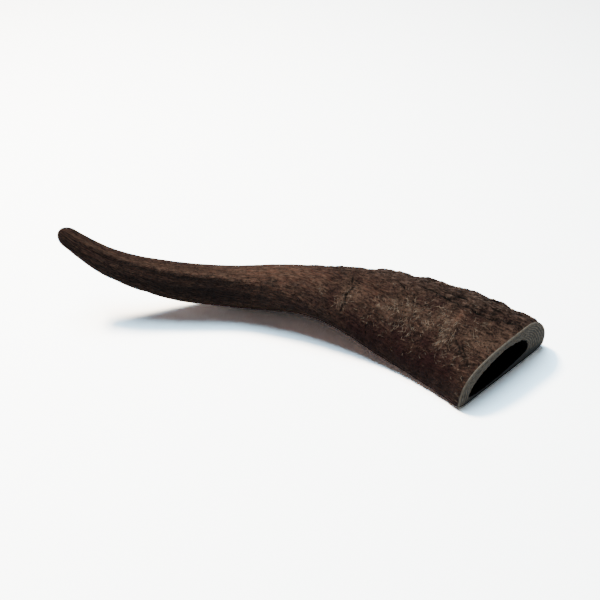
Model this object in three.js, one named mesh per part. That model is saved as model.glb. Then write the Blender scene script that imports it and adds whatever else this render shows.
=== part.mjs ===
// Goat horn: one hollow sheath of horn, sawn off at its base and lying on its flat belly.
// Millimetres, +Z is up and +X is the way that the sawn face looks.
import * as THREE from 'three';
import { ParametricGeometry } from 'three/addons/geometries/ParametricGeometry.js';

// Middle line of the horn from the sawn base to the tip: it curls to -Y and lifts off the table.
const SPINE = [
	[ - 0.3, 0.9, 11.9 ],
	[ - 23.8, - 3.3, 12.3 ],
	[ - 48.9, - 12.7, 12.2 ],
	[ - 70.8, - 26.5, 14.6 ],
	[ - 90, - 43.1, 15.2 ],
	[ - 107.9, - 62.3, 15.2 ],
	[ - 124, - 83.9, 20.7 ],
	[ - 139.3, - 102.9, 31.2 ],
	[ - 153.9, - 116.2, 46.2 ],
];

// Values at nine even stations from the sawn base to the tip.
const BREADTH = [ 55.7, 53.5, 48.6, 42.5, 36.3, 27.7, 19.2, 12.5, 6.8 ];
const DEPTH = [ 25.1, 24.7, 24.2, 22.6, 21.5, 18.8, 17, 12.8, 8.2 ];
const TWIST = [ - 1.9, - 2.9, 2.5, 19.1, 40.7, 50.1, 55.4, 60.5, 62.7 ];

// Shape of the section, first at the sawn base and then along the tip half. The shares say how much
// of the breadth lies on the ridge side and how much of the depth lies below the widest line.
const RIDGE_SHARE = [ 0.7, 0.5 ];
const BELLY_SHARE = [ 0.2, 0.5 ];
const FULLNESS = {
	keelToCrown: [ 1.6, 1.9 ],
	crownToRidge: [ 3.4, 1.7 ],
	ridgeToBelly: [ 3.1, 1.7 ],
	bellyToKeel: [ 4.5, 1.9 ],
};
const SHAPE_CHANGE = 1.6;

// The belly is worn flat below this height, so the horn lies steady.
const WORN_FLAT = 0.3;
const TIP_ROUNDING = 5;
const SAWN_REACH = 0.2;
const EDGE_BREAK = 0.5;

// The hollow that the bony core left.
const HOLLOW_LENGTH = 0.5;
const HOLLOW_BREADTH = 37;
const HOLLOW_DEPTH = 16;
const HOLLOW_SHIFT = - 4;
const HOLLOW_DROP = - 0.5;
const HOLLOW_TILT = 4;
const HOLLOW_RIDGE_SHARE = 0.56;
const HOLLOW_BELLY_SHARE = 0.22;
const HOLLOW_FULLNESS = 2;

// Rough lumps along the keel: place from base to tip, angle round the horn, reach along the horn,
// spread round it and height.
const LUMPS = [
	{ at: 0.03, angle: 44, reach: 0.014, spread: 22, height: 0.8 },
	{ at: 0.055, angle: 8, reach: 0.016, spread: 26, height: - 0.6 },
	{ at: 0.078, angle: 48, reach: 0.018, spread: 22, height: 0.6 },
	{ at: 0.12, angle: 14, reach: 0.014, spread: 22, height: 0.5 },
	{ at: 0.152, angle: 52, reach: 0.032, spread: 20, height: - 0.5 },
	{ at: 0.185, angle: 12, reach: 0.014, spread: 22, height: - 0.7 },
	{ at: 0.21, angle: 50, reach: 0.013, spread: 20, height: 0.5 },
	{ at: 0.237, angle: 52, reach: 0.012, spread: 22, height: - 0.9 },
	{ at: 0.262, angle: 44, reach: 0.014, spread: 26, height: 0.8 },
	{ at: 0.3, angle: 52, reach: 0.018, spread: 24, height: 0.7 },
	{ at: 0.34, angle: 10, reach: 0.02, spread: 24, height: - 0.6 },
	{ at: 0.39, angle: 40, reach: 0.018, spread: 20, height: - 0.4 },
];

// Growth rings on the base half, and the crisp ridge with its groove along the tip half.
const RING_PITCH = 9;
const RING_HEIGHT = 0.15;
const RIDGE_HEIGHT = 0.7;
const RIDGE_SPREAD = 9;
const GROOVE_ANGLE = 204;
const GROOVE_DEPTH = 0.6;
const GROOVE_SPREAD = 11;

const HORN_COLOUR = 0x4b3b31;
const HORN_ROUGHNESS = 0.72;

// Facets: round the horn, along the outside, across the broken edge and the sawn face, and down the hollow.
const AROUND = 48;
const OUTSIDE_ROWS = 78;
const FACE_ROWS = 2;
const HOLLOW_ROWS = 14;
const TIP_CROWDING = 1.35;

const { smoothstep, lerp, clamp, degToRad } = THREE.MathUtils;
const UP = new THREE.Vector3( 0, 0, 1 );

const spine = new THREE.CatmullRomCurve3( SPINE.map( ( point ) => new THREE.Vector3( ...point ) ) );
spine.arcLengthDivisions = 800;
const hornLength = spine.getLength();

// A smooth line through values at even stations.
function through( values ) {

	return new THREE.SplineCurve( values.map( ( value, station ) => new THREE.Vector2( station, value ) ) );

}

const breadth = through( BREADTH );
const depth = through( DEPTH );
const twist = through( TWIST );

const valueAt = ( line, t ) => line.getPoint( clamp( t, 0, 1 ) ).y;

const bell = ( distance, spread ) => Math.exp( - ( ( distance / spread ) ** 2 ) );

// Degrees from one angle to another, between -180 and 180.
function turnBetween( from, to ) {

	return THREE.MathUtils.euclideanModulo( to - from + 180, 360 ) - 180;

}

// Middle, heading and the two directions of the section: towards the keel and towards the crown.
function frameAt( t ) {

	const place = clamp( t, 0, 1 );
	const middle = spine.getPointAt( place );
	const heading = spine.getTangentAt( place );
	const keel = new THREE.Vector3().crossVectors( heading, UP ).normalize();
	const crown = new THREE.Vector3().crossVectors( keel, heading );
	const roll = degToRad( valueAt( twist, t ) );
	keel.applyAxisAngle( heading, roll );
	crown.applyAxisAngle( heading, roll );

	return { middle, heading, keel, crown };

}

// Unit outline of a section: a full or a lean curve in each quarter.
function outline( angle, fullness ) {

	const across = Math.abs( Math.cos( angle ) );
	const upward = Math.abs( Math.sin( angle ) );
	const size = ( across ** fullness + upward ** fullness ) ** ( - 1 / fullness );

	return new THREE.Vector2( Math.cos( angle ) * size, Math.sin( angle ) * size );

}

function fullnessAt( angle, change ) {

	const names = Object.keys( FULLNESS );
	const quarter = Math.floor( THREE.MathUtils.euclideanModulo( angle, 2 * Math.PI ) / ( Math.PI / 2 ) ) % 4;

	return lerp( ...FULLNESS[ names[ quarter ] ], change );

}

// Height of the lumps, rings, ridge and groove over the plain shape. The belly lies flat, without them.
function relief( t, angle ) {

	const degrees = THREE.MathUtils.radToDeg( angle );
	const baseHalf = 1 - smoothstep( t, 0.35, 0.6 );
	const tipHalf = smoothstep( t, 0.42, 0.56 ) * ( 1 - smoothstep( t, 0.9, 0.98 ) );
	const offBelly = 1 - bell( turnBetween( 270, degrees ), 62 ) * ( 1 - smoothstep( t, 0.42, 0.6 ) );
	const wander = 1.3 * Math.sin( 2 * angle ) + 0.8 * Math.sin( 3 * angle + 9 * t );
	const ring = Math.sin( 2 * Math.PI * t * hornLength / RING_PITCH + wander );

	let height = RING_HEIGHT * ring * baseHalf;
	height += RIDGE_HEIGHT * bell( turnBetween( 180, degrees ), RIDGE_SPREAD ) * tipHalf;
	height -= GROOVE_DEPTH * bell( turnBetween( GROOVE_ANGLE, degrees ), GROOVE_SPREAD ) * tipHalf;

	for ( const lump of LUMPS ) {

		height += lump.height * bell( t - lump.at, lump.reach ) * bell( turnBetween( lump.angle, degrees ), lump.spread );

	}

	return height * offBelly;

}

// Slides a point of the base along the horn until the sawn ends lie in one flat plane.
function sawn( point, frame, t, back ) {

	const pull = 1 - smoothstep( t, 0, SAWN_REACH );
	const behind = point.x - frame.middle.x + back;

	return point.addScaledVector( frame.heading, - behind / frame.heading.x * pull );

}

function outsidePoint( t, angle, inset, back, target ) {

	const frame = frameAt( t );
	const change = clamp( t * SHAPE_CHANGE, 0, 1 );
	const ridgeShare = lerp( ...RIDGE_SHARE, change );
	const bellyShare = lerp( ...BELLY_SHARE, change );
	const towardsKeel = Math.cos( angle ) > 0 ? 1 - ridgeShare : ridgeShare;
	const towardsCrown = Math.sin( angle ) > 0 ? 1 - bellyShare : bellyShare;
	const toTip = clamp( ( 1 - t ) * hornLength / TIP_ROUNDING, 0, 1 );
	const rounding = Math.sqrt( 1 - ( 1 - toTip ) ** 2 );
	const size = new THREE.Vector2( valueAt( breadth, t ), valueAt( depth, t ) );

	const reach = size.clone().multiply( new THREE.Vector2( towardsKeel, towardsCrown ) );
	const away = new THREE.Vector2( Math.cos( angle ) / reach.x, Math.sin( angle ) / reach.y ).normalize();
	const place = outline( angle, fullnessAt( angle, change ) ).multiply( reach );
	place.x -= size.x * ( 0.5 - ridgeShare );
	place.y -= size.y * ( 0.5 - bellyShare );
	place.addScaledVector( away, relief( t, angle ) - inset ).multiplyScalar( rounding );

	target.copy( frame.middle );
	target.addScaledVector( frame.keel, place.x );
	target.addScaledVector( frame.crown, place.y );

	return sawn( target, frame, t, back );

}

function hollowPoint( t, angle, target ) {

	const frame = frameAt( t );
	const way = clamp( t / HOLLOW_LENGTH, 0, 1 );
	const rounding = Math.sqrt( 1 - way ** 2 );
	const broad = HOLLOW_BREADTH * valueAt( breadth, t ) / BREADTH[ 0 ] * rounding;
	const deep = HOLLOW_DEPTH * valueAt( depth, t ) / DEPTH[ 0 ] * rounding;
	const towardsKeel = Math.cos( angle ) > 0 ? 1 - HOLLOW_RIDGE_SHARE : HOLLOW_RIDGE_SHARE;
	const towardsCrown = Math.sin( angle ) > 0 ? 1 - HOLLOW_BELLY_SHARE : HOLLOW_BELLY_SHARE;

	const place = outline( angle, HOLLOW_FULLNESS );
	place.x = broad * ( place.x * towardsKeel - 0.5 + HOLLOW_RIDGE_SHARE );
	place.y = deep * ( place.y * towardsCrown - 0.5 + HOLLOW_BELLY_SHARE );
	place.rotateAround( new THREE.Vector2( 0, 0 ), degToRad( HOLLOW_TILT ) );
	place.add( new THREE.Vector2( HOLLOW_SHIFT, HOLLOW_DROP ).multiplyScalar( 1 - way ) );

	target.copy( frame.middle );
	target.addScaledVector( frame.keel, place.x );
	target.addScaledVector( frame.crown, place.y );

	return sawn( target, frame, t, 0 );

}

// One skin from the tip along the outside, over the sawn edge, across the face and down into the hollow.
function skin( round, along, target ) {

	const angle = 2 * Math.PI * ( round % 1 );
	const row = along * ( OUTSIDE_ROWS + FACE_ROWS + HOLLOW_ROWS );

	if ( row <= OUTSIDE_ROWS ) {

		outsidePoint( 1 - ( row / OUTSIDE_ROWS ) ** TIP_CROWDING, angle, 0, EDGE_BREAK, target );

	} else if ( row <= OUTSIDE_ROWS + 1 ) {

		const over = row - OUTSIDE_ROWS;
		outsidePoint( 0, angle, over * EDGE_BREAK, ( 1 - over ) * EDGE_BREAK, target );

	} else {

		const way = ( row - OUTSIDE_ROWS - FACE_ROWS ) / HOLLOW_ROWS;
		hollowPoint( clamp( way, 0, 1 ) * HOLLOW_LENGTH, angle, target );

	}

	target.z = Math.max( target.z, WORN_FLAT );

	return target;

}

const geometry = new ParametricGeometry( skin, AROUND, OUTSIDE_ROWS + FACE_ROWS + HOLLOW_ROWS );

const material = new THREE.MeshStandardMaterial( {
	color: HORN_COLOUR,
	roughness: HORN_ROUGHNESS,
	metalness: 0,
} );

const horn = new THREE.Mesh( geometry, material );
horn.name = 'horn';

// The horn stands on Z = 0 with the middle of its footprint at the origin.
const box = new THREE.Box3().setFromObject( horn );
const middle = box.getCenter( new THREE.Vector3() );
horn.position.set( - middle.x, - middle.y, - box.min.z );

const goatHorn = new THREE.Group();
goatHorn.add( horn );

export default goatHorn;
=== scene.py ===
"""Goat horn: a dark hollow sheath of horn, sawn off at its base and lying on its flat belly.

Metres, +Z is up and +X is the way that the sawn face looks. The shape's own sizes are millimetres.
"""

import logging
import math
import random
from collections.abc import Sequence
from dataclasses import dataclass, field
from enum import Enum

import bmesh
import bpy
import numpy as np
from mathutils import Euler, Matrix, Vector, noise


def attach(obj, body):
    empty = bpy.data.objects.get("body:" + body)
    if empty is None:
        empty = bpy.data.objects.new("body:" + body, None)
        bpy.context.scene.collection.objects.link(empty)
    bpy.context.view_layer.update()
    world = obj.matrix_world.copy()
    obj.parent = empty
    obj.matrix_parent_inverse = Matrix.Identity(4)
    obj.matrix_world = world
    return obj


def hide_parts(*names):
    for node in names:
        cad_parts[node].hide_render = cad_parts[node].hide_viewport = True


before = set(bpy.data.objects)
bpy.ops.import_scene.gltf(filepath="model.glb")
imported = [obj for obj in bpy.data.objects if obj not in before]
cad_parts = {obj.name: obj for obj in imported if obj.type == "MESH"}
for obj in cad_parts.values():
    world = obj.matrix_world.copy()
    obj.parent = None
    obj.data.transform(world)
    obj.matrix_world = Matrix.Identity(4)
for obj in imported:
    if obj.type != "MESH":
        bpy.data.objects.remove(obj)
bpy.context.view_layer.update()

LOG = logging.getLogger("goat_horn")
MM = 0.001
Array = np.ndarray
Colour = tuple[float, float, float, float]
Socket = bpy.types.NodeSocket


class Skin(Enum):
    """The three surfaces of the sheath, with their material slots."""

    SHEATH = 0
    SAWN = 1
    HOLLOW = 2


@dataclass(frozen=True)
class Patch:
    """A soft spot on the horn: a lump, or a patch of another colour.

    Attributes:
        at: place along the horn, 0 at the sawn base and 1 at the tip.
        angle: degrees round the horn, 0 at the keel, 90 at the crown and 180 at the ridge.
        reach: how far it runs along the horn.
        spread: how far it runs round the horn, in degrees.
        strength: height in millimetres, or share of the other colour.
    """

    at: float
    angle: float
    reach: float
    spread: float
    strength: float

    def over(self, place: Array, degrees: Array) -> Array:
        """Strength of the patch at each place and angle.

        Args:
            place: places along the horn.
            degrees: angles round it.

        Returns:
            The strength at each of them.
        """
        along = ((place - self.at) / self.reach) ** 2
        round_it = (turn_between(self.angle, degrees) / self.spread) ** 2
        return self.strength * np.exp(-along - round_it)


@dataclass(frozen=True)
class Crack:
    """One of the cracks that wander along a line of the horn, with painted shade along its gap.

    Attributes:
        line: places along the horn and angles round it, from one end to the other.
        width: half of its width in millimetres.
        depth: its depth in millimetres.
    """

    line: tuple[tuple[float, float], ...]
    width: float
    depth: float


def turn_between(start: float | Array, end: Array) -> Array:
    """Degrees from one angle to another, between -180 and 180."""
    return (end - start + 180.0) % 360.0 - 180.0


def bell(distance: Array, spread: float) -> Array:
    """A soft bump, 1 in its middle and near 0 two spreads away."""
    return np.exp(-((distance / spread) ** 2))


def rise(value: Array, low: float, high: float) -> Array:
    """A smooth step from 0 at low to 1 at high."""
    way = np.clip((value - low) / (high - low), 0.0, 1.0)
    return way * way * (3.0 - 2.0 * way)


def terraces(value: Array, count: float) -> tuple[Array, Array]:
    """Turns a soft field into level plates with steep edges.

    Args:
        value: the field.
        count: how many plates there are for each unit of the field.

    Returns:
        The stepped field, and how near each point is to an edge, from 0 to 1.
    """
    level = np.floor(value * count)
    part = value * count - level
    return (level + rise(part, 0.4, 0.6)) / count, bell(part - 0.44, 0.1)


def patches(*rows: tuple[float, float, float, float, float]) -> tuple[Patch, ...]:
    """Soft spots, from their rows of five numbers."""
    return tuple(Patch(*row) for row in rows)


def cover(spots: tuple[Patch, ...], place: Array, degrees: Array) -> Array:
    """How far soft spots cover each point together, from 0 to 1."""
    return np.clip(sum(spot.over(place, degrees) for spot in spots), 0.0, 1.0)


def distance_to(points: Array, line: Array) -> Array:
    """Distance from each point to a line of straight pieces.

    Args:
        points: the points, one in each row.
        line: the line's corners, one in each row.

    Returns:
        Each point's distance from the nearest piece.
    """
    nearest = np.full(len(points), np.inf)
    for start, end in zip(line[:-1], line[1:]):
        piece = end - start
        way = np.clip((points - start) @ piece / (piece @ piece), 0.0, 1.0)
        nearest = np.minimum(nearest, np.linalg.norm(points - start - way[:, None] * piece, axis=1))
    return nearest


def stretch(start: Array, end: Array, leave: Array, arrive: Array, way: Array) -> Array:
    """A smooth stretch between two values or points.

    Args:
        start: where it starts.
        end: where it ends.
        leave: the slope that it starts with.
        arrive: the slope that it ends with.
        way: where to read it, from 0 to 1.

    Returns:
        The stretch at each way.
    """
    cubic = 2 * start - 2 * end + leave + arrive
    square = -3 * start + 3 * end - 2 * leave - arrive
    return cubic * way**3 + square * way**2 + leave * way + start


def smooth_line(values: Sequence[float], place: Array) -> Array:
    """Reads a smooth line through values at even stations.

    Args:
        values: the values from the sawn base to the tip.
        place: where to read the line, from 0 at the base to 1 at the tip.

    Returns:
        The line's value at each place.
    """
    knots = np.asarray(values, dtype=float)
    last = len(knots) - 1
    spot = np.clip(place, 0.0, 1.0) * last
    first = np.minimum(spot.astype(int), last - 1)
    way = spot - first
    here, after = knots[first], knots[first + 1]
    leave = (after - knots[np.maximum(first - 1, 0)]) / 2
    arrive = (knots[np.minimum(first + 2, last)] - here) / 2
    return stretch(here, after, leave, arrive, way)


def read_table(at: Array, stations: Array, table: Array) -> Array:
    """Reads each column of a table between its stations."""
    return np.stack([np.interp(at, stations, column) for column in table.T], axis=1)


def roughness_field(points: Array, scale: Sequence[float], octaves: int, shift: float) -> Array:
    """Fractal noise at each point of the straightened horn.

    Args:
        points: points in millimetres, one in each row.
        scale: how many waves there are to a millimetre along each axis.
        octaves: how many finer layers are added.
        shift: moves the pattern, so that two fields differ.

    Returns:
        The noise at each point, mostly between -1 and 1.
    """
    spots = points * np.asarray(scale) + shift
    return np.array([noise.fractal(spot, 0.9, 2.1, octaves) for spot in spots.tolist()])


def finished(shape: bmesh.types.BMesh, name: str) -> bpy.types.Object:
    """Makes a bmesh an object of the scene.

    Args:
        shape: the bmesh, which is used up.
        name: the object's name.

    Returns:
        The new object.
    """
    mesh = bpy.data.meshes.new(name)
    shape.to_mesh(mesh)
    shape.free()
    made = bpy.data.objects.new(name, mesh)
    bpy.context.scene.collection.objects.link(made)
    return made


@dataclass
class Spine:
    """Middle line of the horn from the sawn base to the tip, with the section's two directions.

    Attributes:
        points: the line's points in millimetres, from the middle of the sawn face.
        twist: degrees that the keel has rolled down, at nine even stations.
        steps: how finely the line is traced.
    """

    points: tuple[tuple[float, float, float], ...] = (
        (-0.3, 0.9, 11.9),
        (-23.8, -3.3, 12.3),
        (-48.9, -12.7, 12.2),
        (-70.8, -26.5, 14.6),
        (-90.0, -43.1, 15.2),
        (-107.9, -62.3, 15.2),
        (-124.0, -83.9, 20.7),
        (-139.3, -102.9, 31.2),
        (-153.9, -116.2, 46.2),
    )
    twist: tuple[float, ...] = (-1.9, -2.9, 2.5, 19.1, 40.7, 50.1, 55.4, 60.5, 62.7)
    steps: int = 400
    line: Array = field(init=False)
    length: float = field(init=False)

    def __post_init__(self) -> None:
        """Traces the line with steps of even length."""
        knots = np.asarray(self.points)
        knots = np.vstack([2 * knots[0] - knots[1], knots, 2 * knots[-1] - knots[-2]])
        pieces = [self.piece(*knots[i : i + 4]) for i in range(len(self.points) - 1)]
        dense = np.vstack([*pieces, knots[-2]])
        far = np.concatenate([[0.0], np.cumsum(np.linalg.norm(np.diff(dense, axis=0), axis=1))])
        even = np.linspace(0.0, far[-1], self.steps + 1)
        self.length = float(far[-1])
        self.line = read_table(even, far, dense)

    def piece(self, before: Array, start: Array, end: Array, beyond: Array) -> Array:
        """Traces the stretch between two points.

        Args:
            before: the point before the stretch.
            start: the stretch's first point.
            end: the stretch's last point.
            beyond: the point after the stretch.

        Returns:
            Close points from start up to, and without, end.
        """
        gaps = [np.linalg.norm(b - a) ** 0.5 for a, b in ((before, start), (start, end), (end, beyond))]
        first, gap, last = gaps
        leave = gap * ((start - before) / first - (end - before) / (first + gap)) + end - start
        arrive = gap * ((beyond - end) / last - (beyond - start) / (gap + last)) + end - start
        way = np.linspace(0.0, 1.0, 120, endpoint=False)[:, None]
        return stretch(start, end, leave, arrive, way)

    def frames(self, place: Array) -> tuple[Array, Array, Array, Array]:
        """Middle, heading, keel direction and crown direction.

        Args:
            place: where to read the spine, from 0 at the base to 1 at the tip.

        Returns:
            Four arrays with one row for each place.
        """
        spots = np.clip(place, 0.0, 1.0) * self.steps
        grid = np.arange(self.steps + 1)
        middle = read_table(spots, grid, self.line)
        heading = read_table(spots, grid, np.gradient(self.line, axis=0))
        heading /= np.linalg.norm(heading, axis=1, keepdims=True)
        side = np.cross(heading, (0.0, 0.0, 1.0))
        side /= np.linalg.norm(side, axis=1, keepdims=True)
        over = np.cross(side, heading)
        roll = np.radians(smooth_line(self.twist, place))[:, None]
        keel = np.cos(roll) * side - np.sin(roll) * over
        crown = np.sin(roll) * side + np.cos(roll) * over
        return middle, heading, keel, crown


@dataclass
class Weather:
    """Everything that the years did to the outside: lumps, rings, crease, steps, fibres and pits.

    Attributes:
        lumps: the rough lumps and hollows along the keel.
        ring_pitch: millimetres from one growth ring to the next.
        ring_height: height of the growth rings in millimetres.
        ridge_height: how far the crisp ridge of the tip half stands out.
        ridge_angle: where that ridge runs.
        groove_depth: depth of the groove under that ridge.
        groove_angle: where the groove runs.
        crease_angle: where the long crease runs beside the crown.
        crease_end: how far the crease runs from the sawn base.
        plate_height: how far the rough keel plate stands over the crown at the crease.
        flake_heights: height of the flakes anywhere, and more of it in the base half and on the keel.
        crumb_heights: the same for the crumbs.
        fibre_height: height of the fibres.
        terrace_height: height of the keel's level plates.
        run: millimetres of the horn's length, as the steps count it.
        steps: worn edges of old growth rings, each at a place, an angle, a spread and a height.
        pits: small worn hollows.
    """

    lumps: tuple[Patch, ...] = patches(
        (0.03, 44, 0.014, 22, 0.8), (0.055, 8, 0.016, 26, -0.6), (0.078, 48, 0.018, 22, 0.6),
        (0.12, 14, 0.014, 22, 0.5), (0.152, 52, 0.032, 20, -0.5), (0.185, 12, 0.014, 22, -0.7),
        (0.21, 50, 0.013, 20, 0.5), (0.237, 52, 0.014, 22, -0.5), (0.262, 44, 0.018, 26, 0.6),
        (0.3, 52, 0.018, 24, 0.7), (0.34, 10, 0.02, 24, -0.6), (0.39, 40, 0.018, 20, -0.4),
    )
    ring_pitch: float = 9.0
    ring_height: float = 0.15
    ridge_height: float = 0.7
    ridge_angle: float = 172.0
    groove_depth: float = 0.6
    groove_angle: float = 192.0
    crease_angle: float = 95.0
    crease_end: float = 0.21
    plate_height: float = 0.45
    flake_heights: tuple[float, float, float] = (0.04, 0.12, 0.1)
    crumb_heights: tuple[float, float, float] = (0.03, 0.07, 0.06)
    fibre_height: float = 0.08
    terrace_height: float = 0.8
    run: float = 205.0
    steps: tuple[tuple[float, float, float, float], ...] = (
        (0.364, 140.0, 38.0, 0.28), (0.43, 120.0, 30.0, 0.12), (0.29, 130.0, 36.0, 0.14),
        (0.235, 118.0, 24.0, 0.16), (0.165, 128.0, 30.0, 0.12), (0.1, 60.0, 30.0, 0.3),
        (0.15, 30.0, 34.0, 0.32), (0.2, 66.0, 26.0, 0.34), (0.245, 40.0, 36.0, 0.34),
        (0.325, 46.0, 30.0, 0.24),
    )
    pits: tuple[Patch, ...] = patches(
        (0.855, 292, 0.01, 16, -0.35), (0.79, 286, 0.012, 18, -0.3), (0.735, 300, 0.012, 14, -0.22),
        (0.139, 92, 0.01, 6, -0.45), (0.107, 68, 0.009, 8, -0.4), (0.082, 98, 0.008, 5, -0.6),
        (0.062, 95, 0.006, 5, -0.6), (0.29, 150, 0.009, 7, -0.25), (0.455, 150, 0.008, 7, -0.15),
    )

    def plain(self, place: Array, degrees: Array, length: float) -> Array:
        """Relief of the main forms: lumps, rings, ridge and groove.

        Args:
            place: places along the horn.
            degrees: angles round it.
            length: the horn's length in millimetres.

        Returns:
            Height over the smooth shape in millimetres.
        """
        angle = np.radians(degrees)
        base_half = 1.0 - rise(place, 0.35, 0.6)
        tip_half = rise(place, 0.42, 0.56) * (1.0 - rise(place, 0.9, 0.98))
        wander = 1.3 * np.sin(2 * angle) + 0.8 * np.sin(3 * angle + 9 * place)
        turns = place * length / self.ring_pitch
        height = self.ring_height * base_half * np.sin(2 * np.pi * turns + wander)
        height += self.ridge_height * tip_half * bell(turn_between(self.ridge_angle, degrees), 7.0)
        height -= self.groove_depth * tip_half * bell(turn_between(self.groove_angle, degrees), 10.0)
        for lump in self.lumps:
            height += lump.over(place, degrees)
        return height * self.off_belly(place, degrees)

    def off_belly(self, place: Array, degrees: Array) -> Array:
        """0 on the flat belly that the horn rests on, 1 away from it."""
        return 1.0 - bell(turn_between(270.0, degrees), 62.0) * (1.0 - rise(place, 0.42, 0.6))

    def keel_share(self, place: Array, degrees: Array) -> Array:
        """1 on the rough keel side of the base half, 0 elsewhere."""
        band = np.exp(-((turn_between(28.0, degrees) / 64.0) ** 6))
        return band * (1.0 - rise(place, 0.3, 0.5))

    def under_ridge(self, place: Array, degrees: Array) -> tuple[Array, Array]:
        """How much painted shade each point gets under the tip half's ridge, and how much painted highlight
        along the ridge's top.

        Args:
            place: places along the horn.
            degrees: angles round it.

        Returns:
            Two shares from 0 to 1 for each point.
        """
        tip_half = rise(place, 0.5, 0.66)
        past = turn_between(self.ridge_angle, degrees)
        # Painted shade: the side below the ridge is darkened as if turned away from the light, and it fades
        # near the tip.
        painted_ridge_shade = tip_half * rise(past, 0.0, 9.0) * (1.0 - rise(past, 55.0, 90.0))
        # The second share is a painted highlight just above the ridge.
        return painted_ridge_shade * (1.0 - 0.8 * rise(place, 0.74, 0.92)), tip_half * bell(past + 5.0, 7.0)

    def fine(self, place: Array, degrees: Array, grain: Array) -> tuple[Array, Array]:
        """Relief of the small forms.

        Args:
            place: places along the horn.
            degrees: angles round it.
            grain: points of the straightened horn in millimetres.

        Returns:
            Height in millimetres, and how much painted shade each point gets at plate gaps, step edges and
            pits, from 0 to 1.
        """
        keel = self.keel_share(place, degrees)
        wander = roughness_field(grain, (0.16, 0.05, 0.05), 3, 3.1)
        flakes = roughness_field(grain, (0.2, 0.42, 0.42), 4, 11.7)
        crumbs = roughness_field(grain, (0.75, 0.9, 0.9), 2, 23.3)
        fibres = roughness_field(grain, (0.06, 0.8, 0.8), 2, 37.9)
        plates, edges = terraces(roughness_field(grain, (0.1, 0.25, 0.25), 3, 47.1) + 0.25 * flakes, 2.6)

        shares = np.stack([np.ones_like(place), 1.0 - rise(place, 0.4, 0.62), keel], axis=1)
        height = shares @ self.flake_heights * flakes + self.terrace_height * keel * plates
        height += shares @ self.crumb_heights * crumbs + self.fibre_height * fibres
        # Painted shade: darkens the gaps at the edges of the keel's level plates.
        shade_painted_crack = 0.95 * keel * edges

        off_crease = turn_between(self.crease_angle, degrees) + 4.5 * wander + 1.6 * flakes
        present = 1.0 - rise(place, self.crease_end - 0.03, self.crease_end + 0.02)
        plate = rise(-off_crease, -1.0, 2.0) * np.exp(-np.maximum(0.0, -off_crease) / 26.0)
        height += self.plate_height * plate * present

        for at, middle, spread, step in self.steps:
            ahead = (place - at) * self.run + 3.0 * wander + 2.2 * flakes
            near = bell(turn_between(middle, degrees) + 9.0 * wander, spread)
            height += step * near * (rise(ahead, -0.5, 0.5) * np.exp(-np.maximum(ahead, 0.0) / 5.0))
            # Painted shadow at the foot of each worn step.
            shade_painted_crack = np.maximum(shade_painted_crack, 1.6 * step * near * bell(ahead + 0.7, 0.7))

        for pit in self.pits:
            dip = pit.over(place, degrees + 3.0 * wander)
            height += dip
            # Painted shade in the pits, darker where they are deeper.
            shade_painted_crack = np.maximum(shade_painted_crack, -1.2 * dip)

        height *= self.off_belly(place, degrees) * (1.0 - 0.5 * rise(place, 0.96, 1.0))
        return height, np.clip(shade_painted_crack, 0.0, 1.0)


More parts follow.
